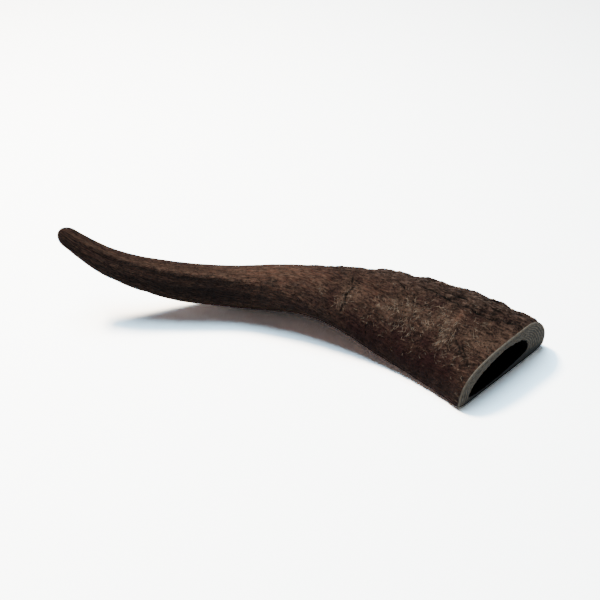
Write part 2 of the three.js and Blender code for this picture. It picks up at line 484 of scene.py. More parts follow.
@dataclass
class HornShape:
    """The horn's form: the spine, the changing section, the sawn plane and the hollow.

    Attributes:
        spine: the middle line.
        weather: the outside's relief.
        breadth: keel to ridge in millimetres, at nine even stations.
        depth: belly to crown in millimetres, at the same stations.
        ridge_share: share of the breadth on the ridge side, at the base and in the tip half.
        belly_share: share of the depth below the widest line, at the base and in the tip half.
        fullness: how full each quarter of the section is, at the base and in the tip half.
        shape_change: how early the section takes its tip half's shape.
        tip_rounding: length of the rounded tip in millimetres.
        sawn_reach: share of the length that leans into the sawn plane.
        edge_break: width of the broken sawn edge in millimetres.
        hollow_length: share of the length that is hollow.
        hollow_size: breadth and depth of the hollow's mouth in millimetres.
        hollow_shift: how far the mouth sits from the section's middle, in millimetres.
        hollow_tilt: degrees that the mouth is turned.
        hollow_shares: share of the mouth on the ridge side, and below its widest line.
        hollow_swell: unevenness of the hollow's wall in millimetres.
        cracks: the cracks, with painted shade along their gaps.
        foot: where the middle of the sawn face stands from the part's origin, in millimetres.
    """

    spine: Spine = field(default_factory=Spine)
    weather: Weather = field(default_factory=Weather)
    breadth: tuple[float, ...] = (55.7, 53.5, 48.6, 42.5, 36.3, 27.7, 19.2, 12.5, 6.8)
    depth: tuple[float, ...] = (25.1, 24.7, 24.2, 22.6, 21.5, 18.8, 17.0, 12.8, 8.2)
    ridge_share: tuple[float, float] = (0.7, 0.5)
    belly_share: tuple[float, float] = (0.2, 0.5)
    fullness: tuple[tuple[float, float], ...] = ((1.6, 1.9), (3.4, 1.7), (3.1, 1.7), (4.5, 1.9))
    shape_change: float = 1.6
    tip_rounding: float = 5.0
    sawn_reach: float = 0.2
    edge_break: float = 0.5
    hollow_length: float = 0.5
    hollow_size: tuple[float, float] = (37.0, 16.0)
    hollow_shift: tuple[float, float] = (-4.0, -0.5)
    hollow_tilt: float = 4.0
    hollow_shares: tuple[float, float] = (0.56, 0.22)
    hollow_swell: float = 0.5
    cracks: tuple[Crack, ...] = (
        Crack(((0.095, 98), (0.086, 98), (0.071, 98), (0.055, 98.5)), 0.75, 1.0),
        Crack(((0.057, 98.5), (0.047, 94.5), (0.028, 96), (0.004, 94)), 0.5, 0.7),
        Crack(((0.076, 88), (0.065, 90), (0.044, 91), (0.031, 91), (0.012, 92)), 0.4, 0.5),
        Crack(((0.21, 90), (0.197, 91), (0.17, 94), (0.152, 96), (0.126, 97)), 0.5, 0.6),
        Crack(((0.126, 97), (0.106, 97), (0.095, 98)), 0.4, 0.5),
        Crack(((0.146, 90), (0.136, 91), (0.125, 90)), 0.6, 0.7),
        Crack(((0.355, 103), (0.355, 112), (0.35, 118), (0.353, 127)), 0.32, 0.35),
        Crack(((0.353, 127), (0.36, 134), (0.356, 146), (0.361, 158)), 0.38, 0.35),
        Crack(((0.297, 150), (0.299, 157), (0.293, 167)), 0.3, 0.25),
        Crack(((0.265, 91), (0.246, 97), (0.232, 104)), 0.35, 0.35),
        Crack(((0.215, 108), (0.19, 110), (0.175, 106)), 0.26, 0.25),
        Crack(((0.078, 124), (0.05, 129), (0.026, 134)), 0.28, 0.3),
        Crack(((0.055, 126.5), (0.03, 131), (0.011, 136)), 0.28, 0.3),
        Crack(((0.3, 60), (0.27, 66), (0.24, 63)), 0.5, 0.5),
        Crack(((0.18, 40), (0.14, 46), (0.11, 42)), 0.5, 0.5),
        Crack(((0.09, 64), (0.06, 60), (0.03, 66)), 0.5, 0.5),
    )
    foot: tuple[float, float, float] = (77.7, 44.34, -0.3)

    def outline(self, angle: Array, fullness: Array | float) -> Array:
        """Unit outline of a section, as two columns towards the keel and the crown.

        Args:
            angle: angles round the section, in radians.
            fullness: how full the section is there.

        Returns:
            Points of the outline, one in each row.
        """
        across, upward = np.cos(angle), np.sin(angle)
        size = (np.abs(across) ** fullness + np.abs(upward) ** fullness) ** (-1.0 / fullness)
        return np.stack([across * size, upward * size], axis=1)

    def section(self, place: Array, degrees: Array) -> tuple[Array, Array]:
        """Outside section in its own plane, without relief.

        Args:
            place: places along the horn.
            degrees: angles round it.

        Returns:
            Points of the section and unit directions out of it, both as two columns.
        """
        angle = np.radians(degrees)
        change = np.clip(place * self.shape_change, 0.0, 1.0)
        ends = np.asarray(self.fullness)[(degrees % 360.0 // 90.0).astype(int) % 4]
        fullness = ends[:, 0] + (ends[:, 1] - ends[:, 0]) * change
        ridge = self.ridge_share[0] + (self.ridge_share[1] - self.ridge_share[0]) * change
        belly = self.belly_share[0] + (self.belly_share[1] - self.belly_share[0]) * change
        size = np.stack([smooth_line(self.breadth, place), smooth_line(self.depth, place)], axis=1)
        half = np.stack(
            [np.where(np.cos(angle) > 0, 1 - ridge, ridge), np.where(np.sin(angle) > 0, 1 - belly, belly)],
            axis=1,
        )
        reach = size * half
        away = np.stack([np.cos(angle), np.sin(angle)], axis=1) / reach
        away /= np.linalg.norm(away, axis=1, keepdims=True)
        middle = size * (0.5 - np.stack([ridge, belly], axis=1))
        return self.outline(angle, fullness) * reach - middle, away

    def grain(self, place: Array, degrees: Array) -> Array:
        """Points of the straightened horn, where its fibres run along the first axis.

        Args:
            place: places along the horn.
            degrees: angles round it.

        Returns:
            The points in millimetres, one in each row.
        """
        flat, _ = self.section(place, degrees)
        shrink = (self.breadth[0] / smooth_line(self.breadth, place)) ** 0.55
        return np.column_stack([place * self.spine.length, flat * shrink[:, None]])

    def even_round(self, share: Array) -> Array:
        """Shares out the rim of the base's section, closer on the side that shows.

        Args:
            share: how far round each point is, from 0 to 1.

        Returns:
            The angle of each point in degrees.
        """
        degrees = np.linspace(0.0, 360.0, 721)
        flat, _ = self.section(np.full_like(degrees, 0.12), degrees)
        steps = np.linalg.norm(np.diff(flat, axis=0), axis=1) + 0.03
        steps *= 1.0 - 0.55 * bell(turn_between(268.0, degrees[1:]), 66.0)
        far = np.concatenate([[0.0], np.cumsum(steps)])
        return np.interp(share, far / far[-1], degrees)

    def cracked(self, points: Array) -> tuple[Array, Array]:
        """The cracks' share of the relief.

        Args:
            points: points of the straightened horn in millimetres.

        Returns:
            Height in millimetres, and how much painted shade each point gets along the cracks' gaps.
        """
        height, dark = np.zeros(len(points)), np.zeros(len(points))
        for number, shade_painted_crack in enumerate(self.cracks):
            stops = np.array(shade_painted_crack.line)
            line = self.grain(stops[:, 0], stops[:, 1])
            near = np.flatnonzero(distance_to(points, line) < 5.0)
            if not len(near):
                continue
            shift = 61.3 + 7.0 * number
            wobble = [roughness_field(points[near], (0.3, 0.3, 0.3), 3, shift + far) for far in (0.0, 9.4)]
            moved = points[near] + np.column_stack([0.6 * wobble[0], 0.5 * wobble[1], np.zeros(len(near))])
            width = shade_painted_crack.width * (0.55 + 0.8 * rise(wobble[0] - wobble[1], -0.8, 0.8))
            away = distance_to(moved, line)
            gap = bell(away, width)
            height[near] += shade_painted_crack.depth * (0.3 * bell(away - 2.6 * width, width) - gap)
            # Painted shade along the middle of each gap.
            dark[near] = np.maximum(dark[near], np.minimum(1.0, 1.25 * gap))
        return height, dark

    def carry(self, place: Array, flat: Array, back: Array | float) -> Array:
        """Takes points of the section's plane to their places on the bent, sawn horn.

        Args:
            place: places along the horn.
            flat: points in the section's plane, in millimetres.
            back: how far the sawn plane is set back at each point.

        Returns:
            Points in metres in the part's frame.
        """
        middle, heading, keel, crown = self.spine.frames(place)
        points = middle + flat[:, :1] * keel + flat[:, 1:] * crown
        pull = 1.0 - rise(place, 0.0, self.sawn_reach)
        behind = points[:, 0] - middle[:, 0] + back
        points += heading * (-behind / heading[:, 0] * pull)[:, None]
        return (points + np.asarray(self.foot)) * MM

    def outside(self, place: Array, degrees: Array, inset: Array, back: Array) -> tuple[Array, Array]:
        """Points of the weathered outside.

        Args:
            place: places along the horn.
            degrees: angles round it.
            inset: how far each point is set in over the broken edge.
            back: how far the sawn plane is set back at each point.

        Returns:
            Points in metres, and how much painted shade each gets in cracks, plate gaps, step edges and
            pits.
        """
        flat, away = self.section(place, degrees)
        grain = self.grain(place, degrees)
        height, shade_painted_crack = self.weather.fine(place, degrees, grain)
        depth, dark = self.cracked(grain)
        height = (height + depth) * rise(place, 0.0, 0.012)
        height += self.weather.plain(place, degrees, self.spine.length)
        # The gaps' painted shade joins that of the plates, steps and pits.
        shade_painted_crack = np.maximum(shade_painted_crack, dark)
        to_tip = np.clip((1.0 - place) * self.spine.length / self.tip_rounding, 0.0, 1.0)
        rounding = np.sqrt(1.0 - (1.0 - to_tip) ** 2)
        flat = (flat + away * (height - inset)[:, None]) * rounding[:, None]
        return self.carry(place, flat, back), shade_painted_crack

    def hollow(self, way: Array, degrees: Array, swell: Array | float = 0.0) -> Array:
        """Points of the hollow's wall.

        Args:
            way: how far down the hollow, 0 at its mouth and 1 at its end.
            degrees: angles round it.
            swell: unevenness of the wall in millimetres.

        Returns:
            Points in metres.
        """
        place = way * self.hollow_length
        angle = np.radians(degrees)
        rounding = np.sqrt(1.0 - way**2)
        broad = self.hollow_size[0] * smooth_line(self.breadth, place) / self.breadth[0] * rounding
        deep = self.hollow_size[1] * smooth_line(self.depth, place) / self.depth[0] * rounding
        ridge, belly = self.hollow_shares
        unit = self.outline(angle, 2.0)
        across = broad * (unit[:, 0] * np.where(np.cos(angle) > 0, 1 - ridge, ridge) - 0.5 + ridge)
        upward = deep * (unit[:, 1] * np.where(np.sin(angle) > 0, 1 - belly, belly) - 0.5 + belly)
        tilt = math.radians(self.hollow_tilt)
        flat = np.stack(
            [
                across * math.cos(tilt) - upward * math.sin(tilt) + self.hollow_shift[0] * (1 - way),
                across * math.sin(tilt) + upward * math.cos(tilt) + self.hollow_shift[1] * (1 - way),
            ],
            axis=1,
        )
        flat += unit * (np.asarray(swell) * np.sqrt(rounding))[:, None]
        return self.carry(place, flat, 0.0)


class Graph:
    """Adds and joins the nodes of one shader or node group."""

    def __init__(self, tree: bpy.types.NodeTree) -> None:
        """Starts on an empty tree."""
        self.tree = tree
        tree.nodes.clear()

    def add(
        self, kind: str, sockets: dict[int | str, object] | None = None, **settings: object
    ) -> bpy.types.Node:
        """Adds a node.

        Args:
            kind: the node's type name.
            sockets: a value or another node's output for each of its inputs.
            settings: the node's own choices.

        Returns:
            The new node.
        """
        node = self.tree.nodes.new(kind)
        for name, value in settings.items():
            setattr(node, name, value)
        for key, value in (sockets or {}).items():
            if isinstance(value, bpy.types.NodeSocket):
                self.tree.links.new(value, node.inputs[key])
            else:
                node.inputs[key].default_value = value
        return node

    def math(self, operation: str, *values: object) -> Socket:
        """A sum of one to three numbers."""
        return self.add("ShaderNodeMath", dict(enumerate(values)), operation=operation).outputs[0]

    def times(self, first: object, second: object) -> Socket:
        """The product of two numbers."""
        return self.math("MULTIPLY", first, second)

    def spread(
        self, value: Socket, low: float, high: float, start: float = 0.0, end: float = 1.0
    ) -> Socket:
        """Maps low to high onto start to end, smoothly."""
        sockets = {"Value": value, "From Min": low, "From Max": high, "To Min": start, "To Max": end}
        return self.add("ShaderNodeMapRange", sockets, interpolation_type="SMOOTHSTEP").outputs[0]

    def mix(self, share: object, first: object, second: object, blend: str = "MIX") -> Socket:
        """Mixes two colours."""
        sockets = {0: share, 6: first, 7: second}
        return self.add("ShaderNodeMix", sockets, data_type="RGBA", blend_type=blend).outputs[2]

    def blend(self, share: object, first: object, second: object) -> Socket:
        """Mixes two numbers."""
        return self.add("ShaderNodeMix", {0: share, 2: first, 3: second}, data_type="FLOAT").outputs[0]

    def noise(
        self, vector: Socket, scale: tuple[float, float, float], detail: float, roughness: float = 0.55
    ) -> Socket:
        """Cloudy noise, stretched along the axes.

        Args:
            vector: where it is read.
            scale: waves to a unit along each axis.
            detail: how many finer layers it has.
            roughness: how strong these are.

        Returns:
            The noise, from 0 to 1.
        """
        spot = self.add("ShaderNodeVectorMath", {0: vector, 1: scale}, operation="MULTIPLY").outputs[0]
        sockets = {"Vector": spot, "Scale": 1.0, "Detail": detail, "Roughness": roughness}
        return self.add("ShaderNodeTexNoise", sockets).outputs["Fac"]

    def attribute(self, name: str) -> Socket:
        """One of the mesh's own vector attributes."""
        settings = {"attribute_name": name, "attribute_type": "GEOMETRY"}
        return self.add("ShaderNodeAttribute", **settings).outputs["Vector"]

    def parts(self, vector: Socket) -> tuple[Socket, Socket, Socket]:
        """The three numbers of a vector."""
        split = self.add("ShaderNodeSeparateXYZ", {0: vector})
        return split.outputs[0], split.outputs[1], split.outputs[2]

    def grain(self) -> bpy.types.bpy_prop_collection:
        """The horn's grain at the mesh's own guide, as the outputs of the node group."""
        sockets = {"Grain": self.attribute("grain")}
        return self.add("ShaderNodeGroup", sockets, node_tree=HornGrain.tree()).outputs

    def surface(
        self, colour: Socket, matt: Socket, relief: Socket, strength: float, high: float, shine: float
    ) -> None:
        """Ends a material with one shader.

        Args:
            colour: the surface's colour.
            matt: its roughness.
            relief: its fine relief, from 0 to 1.
            strength: how strongly the relief shows.
            high: the relief's height in metres.
            shine: the shader's specular level.
        """
        bump = self.add("ShaderNodeBump", {"Strength": strength, "Distance": high, "Height": relief})
        sockets = {"Base Color": colour, "Roughness": matt, "Normal": bump.outputs[0]}
        shader = self.add("ShaderNodeBsdfPrincipled", {**sockets, "Specular IOR Level": shine})
        self.add("ShaderNodeOutputMaterial", {"Surface": shader.outputs[0]})


def new_material(name: str) -> tuple[bpy.types.Material, Graph]:
    """Starts a material.

    Args:
        name: the material's name.

    Returns:
        The new material, and the graph of its nodes.
    """
    made = bpy.data.materials.new(name)
    made.use_nodes = True
    return made, Graph(made.node_tree)


@dataclass(frozen=True)
class Cloud:
    """A stretched noise that is cut to a soft mask.

    Attributes:
        along: waves to a millimetre along the fibres.
        across: waves to a millimetre across them.
        detail: how many finer layers it has.
        roughness: how strong these are.
        low: the noise that gives 0.
        high: the noise that gives 1.
    """

    along: float
    across: float
    detail: float
    roughness: float
    low: float
    high: float

    def mask(self, graph: Graph, spot: Socket) -> Socket:
        """The cloud's mask at a spot of the straightened horn."""
        cloud = graph.noise(spot, (self.along, self.across, self.across), self.detail, self.roughness)
        return graph.spread(cloud, self.low, self.high)


class HornGrain:
    """Node group for horn: fibres, crossing hairs, crumpled skin, pores and blotches."""

    name = "horn_grain"
    flowing = {
        "Fibres": Cloud(0.2, 0.8, 4.0, 0.62, 0.44, 0.57),
        "Threads": Cloud(0.32, 1.15, 2.0, 0.5, 0.5, 0.6),
    }
    lying = {
        "Pores": Cloud(0.4, 1.0, 3.0, 0.6, 0.5, 0.63),
        "Blotches": Cloud(0.07, 0.12, 3.0, 0.6, 0.38, 0.62),
        "Mottle": Cloud(0.2, 0.28, 3.0, 0.6, 0.42, 0.6),
        "Crumple": Cloud(0.3, 0.62, 4.0, 0.62, 0.43, 0.58),
    }
    leans = (34.0, -46.0, 78.0, -84.0)

    @classmethod
    def tree(cls) -> bpy.types.NodeTree:
        """The group, built once.

        Returns:
            The node group.
        """
        known = bpy.data.node_groups.get(cls.name)
        if known:
            return known
        tree = bpy.data.node_groups.new(cls.name, "ShaderNodeTree")
        graph = Graph(tree)
        tree.interface.new_socket("Grain", in_out="INPUT", socket_type="NodeSocketVector")
        for title in (*cls.flowing, *cls.lying, "Hairs"):
            tree.interface.new_socket(title, in_out="OUTPUT", socket_type="NodeSocketFloat")
        grain = graph.add("NodeGroupInput").outputs["Grain"]
        bent = graph.noise(grain, (0.05, 0.12, 0.12), 2.0)
        swirl = graph.times(graph.math("SUBTRACT", bent, 0.5), 3.0)
        shift = graph.add("ShaderNodeCombineXYZ", {0: 0.0, 1: swirl, 2: swirl}).outputs[0]
        flow = graph.add("ShaderNodeVectorMath", {0: grain, 1: shift}, operation="ADD").outputs[0]

        sockets = {title: cloud.mask(graph, flow) for title, cloud in cls.flowing.items()}
        sockets |= {title: cloud.mask(graph, grain) for title, cloud in cls.lying.items()}
        sockets["Hairs"] = 0.0
        for lean in cls.leans:
            sockets["Hairs"] = graph.math("MAXIMUM", sockets["Hairs"], cls.hairs(graph, flow, lean))
        graph.add("NodeGroupOutput", sockets)
        return tree

    @staticmethod
    def hairs(graph: Graph, grain: Socket, lean: float) -> Socket:
        """Thin lines that lean off the fibres.

        Args:
            graph: where the nodes go.
            grain: the straightened horn's coordinates.
            lean: degrees between the lines and the fibres.

        Returns:
            1 on a line and 0 off it.
        """
        sockets = {"Vector": grain, "Angle": math.radians(lean)}
        turned = graph.add("ShaderNodeVectorRotate", sockets, rotation_type="Z_AXIS").outputs[0]
        cloud = graph.noise(turned, (0.26, 0.85, 0.85), 1.0, 0.5)
        off = graph.math("ABSOLUTE", graph.math("SUBTRACT", cloud, 0.5))
        return graph.spread(off, 0.042, 0.012)


@dataclass(frozen=True)
class SheathFinish:
    """Rough, dry, dark brown horn with scuffed tan fibres.

    Attributes:
        dark: the darkest horn.
        brown: the horn between its fibres.
        tan: scuffed and frayed horn.
        rust: the reddish zone on the upper side, where light falls; the painted highlight lightens it
            further.
        maroon: the dark reddish near side.
        ash: the dry flakes of the keel.
        shade_painted_crack: the painted shade at the bottom of cracks, plate gaps, step edges and pits.
    """

    dark: Colour = (0.0110, 0.0058, 0.0056, 1.0)
    brown: Colour = (0.110, 0.0490, 0.0360, 1.0)
    tan: Colour = (0.350, 0.205, 0.144, 1.0)
    rust: Colour = (0.270, 0.110, 0.072, 1.0)
    maroon: Colour = (0.050, 0.0120, 0.0140, 1.0)
    ash: Colour = (0.340, 0.238, 0.198, 1.0)
    shade_painted_crack: Colour = (0.0030, 0.0020, 0.0018, 1.0)

    def material(self) -> bpy.types.Material:
        """The finish as a material.

        Returns:
            The new material.
        """
        made, graph = new_material("horn_sheath")
        grain = graph.grain()
        threads, hairs, pores, crumple = (grain[key] for key in ("Threads", "Hairs", "Pores", "Crumple"))
        tan, rust, shade_painted_crack = graph.parts(graph.attribute("zones"))
        maroon, keel, pale = graph.parts(graph.attribute("shades"))

        # Painted shade under the ridge and painted highlight along its top, read from the mesh's guide.
        painted_ridge_shade, painted_ridge_highlight, _ = graph.parts(graph.attribute("ridge_shade_and_highlight"))
        base = graph.spread(graph.parts(graph.attribute("grain"))[0], 100.0, 74.0)
        stripes = graph.blend(graph.times(base, 0.75), grain["Fibres"], crumple)
        cloudy = graph.math("MULTIPLY_ADD", grain["Blotches"], 0.6, 0.4)
        tone = graph.times(stripes, cloudy)
        colour = graph.mix(tone, self.dark, self.brown)
        # Painted highlight: tan threads over the reddish upper zone and along the ridge's top.
        painted_highlight = graph.times(graph.math("MAXIMUM", rust, painted_ridge_highlight), threads)
        scuff = graph.math("MAXIMUM", graph.math("MAXIMUM", graph.times(threads, 0.8), hairs), crumple)
        flaky = graph.times(crumple, graph.math("MULTIPLY_ADD", threads, 0.4, 0.4))
        layers = (
            (self.maroon, 0.4, grain["Mottle"]),
            (self.tan, 0.5, graph.times(threads, stripes)),
            (self.tan, 0.26, hairs),
            (self.rust, 1.0, graph.times(rust, graph.math("MULTIPLY_ADD", stripes, 0.8, 0.1))),
            # Painted highlight in tan.
            (self.tan, 0.75, painted_highlight),
            (self.maroon, 0.88, maroon),
            (self.tan, 1.0, graph.times(tan, graph.math("MULTIPLY_ADD", scuff, 0.72, 0.03))),
            (self.ash, 1.0, graph.times(keel, flaky)),
            (self.dark, 0.5, pores),
            # Painted shade under the tip half's ridge.
            (self.dark, 0.6, painted_ridge_shade),
            (self.tan, 1.0, pale),
            # Painted shade in cracks, plate gaps, step edges and pits.
            (self.shade_painted_crack, 1.0, shade_painted_crack),
        )
        for tint, share, mask in layers:
            colour = graph.mix(graph.times(mask, share), colour, tint)

        relief = graph.math("MULTIPLY_ADD", stripes, 0.75, graph.times(threads, 0.4))
        relief = graph.math("SUBTRACT", relief, graph.times(pores, 0.5))
        frayed = graph.math("MAXIMUM", tan, graph.times(base, 0.5))
        relief = graph.math("MULTIPLY_ADD", hairs, frayed, relief)
        matt = graph.spread(graph.math("ADD", pores, tone), 0.0, 1.6, 0.62, 0.88)
        graph.surface(colour, matt, relief, strength=1.0, high=0.00035, shine=0.22)
        return made


@dataclass(frozen=True)
class SawnFinish:
    """Sawn horn: grey-brown, with growth lines that follow the outline, a pale rim that is partly a painted
    highlight, and painted shade on its lower part.

    Attributes:
        grey: the sawn wall.
        dusky: the growth lines.
        painted_lower_shade: a darker, bluish painted shade on the lower part of the sawn face and its edge.
        rim: the pale broken edge, kept to its upper half where it faces the light, so it is partly the
            edge's own colour and partly a painted highlight.
    """

    grey: Colour = (0.500, 0.420, 0.335, 1.0)
    dusky: Colour = (0.105, 0.090, 0.074, 1.0)
    painted_lower_shade: Colour = (0.105, 0.120, 0.130, 1.0)
    rim: Colour = (0.640, 0.500, 0.360, 1.0)

    def material(self) -> bpy.types.Material:
        """The finish as a material.

        Returns:
            The new material.
        """
        made, graph = new_material("sawn_horn")
        across, edge, low = graph.parts(graph.attribute("zones"))
        place = graph.add("ShaderNodeTexCoord").outputs["Object"]
        cloud = graph.noise(place, (900.0, 160.0, 160.0), 3.0)
        rings = graph.math("MULTIPLY_ADD", across, 4.4, graph.times(cloud, 9.0))
        lines = graph.spread(graph.math("SINE", rings), -0.3, 1.0)
        colour = graph.mix(graph.times(lines, 0.75), self.grey, self.dusky)
        speck = graph.noise(place, (900.0, 900.0, 900.0), 4.0, 0.65)
        colour = graph.mix(graph.spread(speck, 0.42, 0.7, 0.0, 0.7), colour, self.dusky)
        # Painted shade: the lower part of the sawn face and its edge turn darker and bluish.
        colour = graph.mix(graph.times(low, 0.7), colour, self.painted_lower_shade)
        # Painted highlight: the pale broken edge shows only along its upper half.
        broken = graph.times(edge, graph.spread(speck, 0.42, 0.6, 0.1, 0.9))
        colour = graph.mix(broken, colour, self.rim)
        teeth = graph.noise(place, (400.0, 260.0, 2600.0), 2.0)
        rough = graph.math("MULTIPLY_ADD", speck, 0.6, teeth)
        relief = graph.math("MULTIPLY_ADD", lines, -0.5, rough)
        matt = graph.spread(speck, 0.3, 0.7, 0.6, 0.8)
        graph.surface(colour, matt, relief, strength=0.6, high=0.00015, shine=0.3)
        return made


@dataclass(frozen=True)
class HollowFinish:
    """The dry inside of the sheath, painted very dark to stand for the shade deep in the hollow.

    Attributes:
        painted_hollow_shade: very dark painted shade on the deep wall.
        brown: the wall's ribs.
    """

    painted_hollow_shade: Colour = (0.0025, 0.0022, 0.0022, 1.0)
    brown: Colour = (0.0100, 0.0075, 0.0065, 1.0)

    def material(self) -> bpy.types.Material:
        """The finish as a material.

        Returns:
            The new material.
        """
        made, graph = new_material("horn_hollow")
        grain = graph.grain()
        tone = graph.times(grain["Fibres"], grain["Blotches"])
        # Painted shade: the hollow's wall is nearly lightless.
        colour = graph.mix(tone, self.painted_hollow_shade, self.brown)
        relief = graph.math("ADD", grain["Fibres"], grain["Pores"])
        matt = graph.spread(tone, 0.0, 1.0, 0.8, 0.95)
        graph.surface(colour, matt, relief, strength=0.8, high=0.0003, shine=0.2)
        return made


@dataclass(frozen=True)
class FrayFinish:
    """Frayed ends of fibre: dry and pale.

    Attributes:
        straw: the pale side.
        brown: the dark side.
    """

    straw: Colour = (0.520, 0.390, 0.290, 1.0)
    brown: Colour = (0.100, 0.054, 0.036, 1.0)

    def material(self) -> bpy.types.Material:
        """The finish as a material.

        Returns:
            The new material.
        """
        made, graph = new_material("frayed_fibre")
        place = graph.add("ShaderNodeTexCoord").outputs["Object"]
        cloud = graph.noise(place, (420.0, 420.0, 420.0), 2.0)
        colour = graph.mix(graph.spread(cloud, 0.38, 0.62), self.brown, self.straw)
        matt = graph.spread(cloud, 0.3, 0.7, 0.6, 0.85)
        shader = graph.add("ShaderNodeBsdfPrincipled", {"Base Color": colour, "Roughness": matt})
        graph.add("ShaderNodeOutputMaterial", {"Surface": shader.outputs[0]})
        return made


@dataclass
class Sheath:
    """The whole horn as one closed skin.

    Attributes:
        shape: the horn's form.
        around: facets round the horn.
        outside_rows: rows from the tip to the sawn edge.
        edge_rows: rows over the broken edge.
        face_rows: rows across the sawn face.
        hollow_rows: rows down the hollow.
        tip_crowding: how much closer the rows are near the tip.
        tan: where the horn is scuffed to tan fibres.
        rust: where it is reddish.
        maroon: where it is dark and reddish.
        pale: small pale flecks.
    """

    shape: HornShape = field(default_factory=HornShape)
    around: int = 184
    outside_rows: int = 492
    edge_rows: int = 4
    face_rows: int = 11
    hollow_rows: int = 34
    tip_crowding: float = 1.18
    tan: tuple[Patch, ...] = patches(
        (0.36, 130, 0.01, 16, 0.9), (0.341, 125, 0.014, 10, 0.7), (0.366, 148, 0.008, 11, 0.9),
        (0.325, 127, 0.022, 12, 0.4), (0.412, 138, 0.008, 14, 0.75), (0.267, 127, 0.02, 9, 0.6),
        (0.245, 119, 0.016, 8, 0.6), (0.217, 118, 0.016, 7, 0.75), (0.185, 117, 0.016, 8, 0.4),
        (0.155, 122, 0.012, 6, 0.75), (0.136, 112, 0.018, 7, 0.5), (0.114, 113, 0.014, 7, 0.55),
        (0.103, 125, 0.01, 8, 0.65), (0.071, 113, 0.022, 7, 0.25), (0.031, 119, 0.028, 7, 0.6),
        (0.008, 108, 0.018, 9, 0.6), (0.455, 128, 0.03, 16, 0.35), (0.52, 138, 0.05, 18, 0.45),
        (0.6, 146, 0.06, 18, 0.45), (0.76, 158, 0.12, 16, 0.5), (0.92, 165, 0.05, 14, 0.55),
        (0.3, 60, 0.06, 26, 0.3), (0.15, 40, 0.05, 22, 0.35), (0.06, 30, 0.04, 24, 0.3),
        (0.55, 320, 0.08, 30, 0.3), (0.25, 262, 0.08, 26, 0.3),
    )
    rust: tuple[Patch, ...] = patches(
        (0.555, 130, 0.055, 24, 0.75), (0.485, 126, 0.045, 24, 0.85), (0.425, 112, 0.03, 22, 0.55),
        (0.3, 118, 0.04, 22, 0.4), (0.11, 106.5, 0.009, 5, 1.0), (0.64, 135, 0.05, 18, 0.35),
        (0.5, 30, 0.07, 30, 0.5),
    )
    maroon: tuple[Patch, ...] = patches(
        (0.264, 153, 0.04, 16, 0.6), (0.21, 140, 0.024, 9, 0.8), (0.19, 158, 0.03, 12, 0.6),
        (0.142, 134, 0.02, 7, 0.8), (0.12, 152, 0.03, 11, 0.6), (0.097, 143, 0.022, 8, 0.75),
        (0.05, 148, 0.03, 10, 0.6), (0.385, 150, 0.014, 14, 0.6), (0.12, 166, 0.13, 20, 0.75),
        (0.085, 104, 0.02, 6, 0.4), (0.17, 104, 0.016, 7, 0.45), (0.325, 165, 0.03, 16, 0.5),
        (0.3, 176, 0.07, 18, 0.5), (0.62, 214, 0.08, 22, 0.3), (0.45, 196, 0.06, 18, 0.4),
    )
    pale: tuple[Patch, ...] = patches(
        (0.051, 103.0, 0.004, 1.2, 1.0), (0.212, 116.0, 0.004, 2.5, 0.5),
        (0.141, 101.0, 0.003, 1.6, 0.6),
    )

    def blank(self) -> bmesh.types.BMesh:
        """A straight turned blank, whose height counts the rows.

        Returns:
            The blank as a bmesh.
        """
        rows = self.outside_rows + self.edge_rows + self.face_rows + self.hollow_rows
        blank = bmesh.new()
        low = blank.verts.new((1.0, 0.0, 0.0))
        high = blank.verts.new((1.0, 0.0, float(rows)))
        side = blank.edges.new((low, high))
        bmesh.ops.subdivide_edges(blank, edges=[side], cuts=rows - 1)
        bmesh.ops.spin(
            blank,
            geom=blank.verts[:] + blank.edges[:],
            cent=(0.0, 0.0, 0.0),
            axis=(0.0, 0.0, 1.0),
            angle=2.0 * math.pi,
            steps=self.around,
            use_merge=True,
        )
        return blank

    def skin_of(self, row: float) -> Skin:
        """Which surface a face at that row belongs to.

        Args:
            row: the row of the face's middle.

        Returns:
            The surface.
        """
        if row < self.outside_rows:
            return Skin.SHEATH
        if row < self.outside_rows + self.edge_rows + self.face_rows:
            return Skin.SAWN
        return Skin.HOLLOW

    def bend(self, rows: Array, degrees: Array) -> tuple[Array, tuple[Array, ...]]:
        """Carries the blank's points to their places on the horn.

        Args:
            rows: the row of each point.
            degrees: the angle of each point.

        Returns:
            Places in metres, then the grain coordinates and the three colour guides of each point.
        """
        shape = self.shape
        edge_end = self.outside_rows + self.edge_rows
        face_end = edge_end + self.face_rows
        place = np.clip(1.0 - (rows / self.outside_rows) ** self.tip_crowding, 0.0, 1.0)
        over = np.clip((rows - self.outside_rows) / self.edge_rows, 0.0, 1.0)
        inset = shape.edge_break * (1.0 - np.cos(over * np.pi / 2))
        back = shape.edge_break * (1.0 - np.sin(over * np.pi / 2))
        points, shade_painted_crack = shape.outside(place, degrees, inset, back)

        across = np.clip((rows - edge_end) / self.face_rows, 0.0, 1.0)
        down = np.clip((rows - face_end) / self.hollow_rows, 0.0, 1.0)
        grain = shape.grain(np.where(rows > face_end, down * shape.hollow_length, place), degrees)
        swell = shape.hollow_swell * roughness_field(grain, (0.05, 0.4, 0.4), 3, 51.3)
        wall = shape.hollow(down, degrees, swell)
        depth = across * np.linalg.norm(wall - points, axis=1) / MM
        share = across[:, None]
        points = np.where(rows[:, None] > edge_end, points * (1.0 - share) + wall * share, points)
        points[:, 2] = np.maximum(points[:, 2], 0.0)
        guides = (self.zones(place, degrees, rows, shade_painted_crack, depth), self.shades(place, degrees))
        return points, (grain, *guides, self.ridge_shade_and_highlight(place, degrees))

